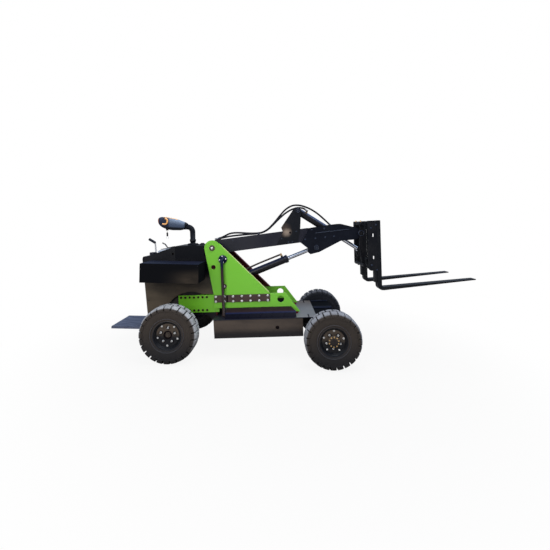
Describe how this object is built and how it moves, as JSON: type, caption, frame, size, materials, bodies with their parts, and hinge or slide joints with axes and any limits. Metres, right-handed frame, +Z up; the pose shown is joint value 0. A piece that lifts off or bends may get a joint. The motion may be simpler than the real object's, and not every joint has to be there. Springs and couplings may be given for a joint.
{
  "type": "stand-on boom loader with pallet forks",
  "caption": "Compact stand-on wheeled loader with a lifting boom, hydraulic cylinders, a tilting fork carriage and pallet forks.",
  "frame": {"origin": "on the ground, midway between the rear edge of the foot platform and the fork tips, in the plane of symmetry", "axes": "+X forwards to the forks, +Y to the left of the machine, +Z up"},
  "size_m": [4.0632, 1.22, 1.7167],
  "materials": {
    "tyre_rubber": "moulded, dusty",
    "rim_paint": "semi-gloss",
    "green_paint": "gloss",
    "brown_paint": "gloss",
    "red_primer": "matte",
    "pin_steel": "turned",
    "chrome_rod": "polished",
    "grey_plate": "satin",
    "slate_paint": "satin",
    "slate_plastic": "gloss",
    "lever_steel": "polished",
    "hose_rubber": "smooth",
    "cast_black": "painted casting",
    "fork_paint": "satin",
    "black_paint": "gloss"
  },
  "bodies": {
    "chassis": {"console": "black_paint", "control_levers": "lever_steel", "control_pod": "slate_plastic", "control_post": "black_paint", "deck_plate": "grey_plate", "engine_block": "cast_black", "front_axle": "cast_black", "front_crossbeam": "black_paint", "housing": "black_paint", "hydraulic_pipe": "black_paint", "main_frame": "black_paint", "platform": "slate_paint", "rear_axle": "cast_black", "rear_rails": "green_paint", "side_boxes": "black_paint", "side_plate_left": "green_paint", "side_plate_right": "green_paint", "side_tanks": "black_paint", "sills": "black_paint", "splice_bars": "brown_paint", "tower_pins": "pin_steel", "tower_web": "red_primer"},
    "boom": {"boom_beam": "black_paint", "nose_plates": "black_paint", "dorsal_plates": "black_paint", "boom_hoses": "hose_rubber"},
    "lift_barrel": {"lift_barrel": "black_paint"},
    "lift_rod": {"lift_rod": "chrome_rod"},
    "tilt_barrel": {"tilt_barrel": "black_paint"},
    "tilt_rod": {"tilt_rod": "chrome_rod"},
    "carriage": {"tool_carrier": "black_paint", "fork_frame": "fork_paint", "fork_right": "fork_paint", "fork_left": "fork_paint"},
    "knuckle_right": {"knuckle_right": "cast_black"},
    "knuckle_left": {"knuckle_left": "cast_black"},
    "tie_rod": {"tie_rod": "cast_black"},
    "wheel_front_right": {"tyre_front_right": "tyre_rubber", "rim_front_right": "rim_paint"},
    "wheel_front_left": {"tyre_front_left": "tyre_rubber", "rim_front_left": "rim_paint"},
    "wheel_rear_right": {"tyre_rear_right": "tyre_rubber", "rim_rear_right": "rim_paint"},
    "wheel_rear_left": {"tyre_rear_left": "tyre_rubber", "rim_rear_left": "rim_paint"}
  },
  "joints": [
    {"name": "boom_lift", "type": "hinge", "parent": "chassis", "child": "boom", "pos_m": [-0.91893, 0, 1.16632], "axis": [0, -1, 0], "range_deg": [-24, 45]},
    {"name": "carriage_tilt", "type": "hinge", "parent": "boom", "child": "carriage", "pos_m": [0.80171, 0, 1.39753], "axis": [0, 1, 0], "range_deg": [-25, 35]},
    {"name": "lift_barrel_swing", "type": "hinge", "parent": "chassis", "child": "lift_barrel", "pos_m": [-0.76398, 0, 0.73464], "axis": [0, -1, 0], "range_deg": [-22.8, 42]},
    {"name": "lift_rod_stroke", "type": "slide", "parent": "lift_barrel", "child": "lift_rod", "axis": [0.9114, 0, 0.4115], "range_m": [-0.1863, 0.3476]},
    {"name": "tilt_barrel_swing", "type": "hinge", "parent": "boom", "child": "tilt_barrel", "pos_m": [0.0527, 0, 1.63675], "axis": [0, 1, 0], "range_deg": [-3.5, 4.5]},
    {"name": "tilt_rod_stroke", "type": "slide", "parent": "tilt_barrel", "child": "tilt_rod", "axis": [0.866, 0, -0.5], "range_m": [-0.1046, 0.0753]},
    {"name": "steer_right", "type": "hinge", "parent": "chassis", "child": "knuckle_right", "pos_m": [-1.25693, -0.385, 0.295], "axis": [0, 0, 1], "range_deg": [-25, 25]},
    {"name": "steer_left", "type": "hinge", "parent": "chassis", "child": "knuckle_left", "pos_m": [-1.25693, 0.385, 0.295], "axis": [0, 0, 1], "range_deg": [-25, 25]},
    {"name": "tie_rod_shift", "type": "slide", "parent": "chassis", "child": "tie_rod", "axis": [0, -1, 0], "range_m": [-0.05, 0.05]},
    {"name": "spin_front_right", "type": "hinge", "parent": "chassis", "child": "wheel_front_right", "pos_m": [0.43007, -0.52, 0.295], "axis": [0, 1, 0], "continuous": true},
    {"name": "spin_front_left", "type": "hinge", "parent": "chassis", "child": "wheel_front_left", "pos_m": [0.43007, 0.52, 0.295], "axis": [0, 1, 0], "continuous": true},
    {"name": "spin_rear_right", "type": "hinge", "parent": "knuckle_right", "child": "wheel_rear_right", "pos_m": [-1.25693, -0.52, 0.295], "axis": [0, 1, 0], "continuous": true},
    {"name": "spin_rear_left", "type": "hinge", "parent": "knuckle_left", "child": "wheel_rear_left", "pos_m": [-1.25693, 0.52, 0.295], "axis": [0, 1, 0], "continuous": true}
  ],
  "couplings": [
    {"joint": "lift_barrel_swing", "follows": "boom_lift", "ratio": 0.91},
    {"joint": "lift_rod_stroke", "follows": "boom_lift", "m_per_rad": 0.44},
    {"joint": "tilt_barrel_swing", "follows": "carriage_tilt", "ratio": 0.1},
    {"joint": "tilt_rod_stroke", "follows": "carriage_tilt", "m_per_rad": -0.168},
    {"joint": "steer_left", "follows": "steer_right", "ratio": 1},
    {"joint": "tie_rod_shift", "follows": "steer_right", "m_per_rad": 0.11}
  ]
}
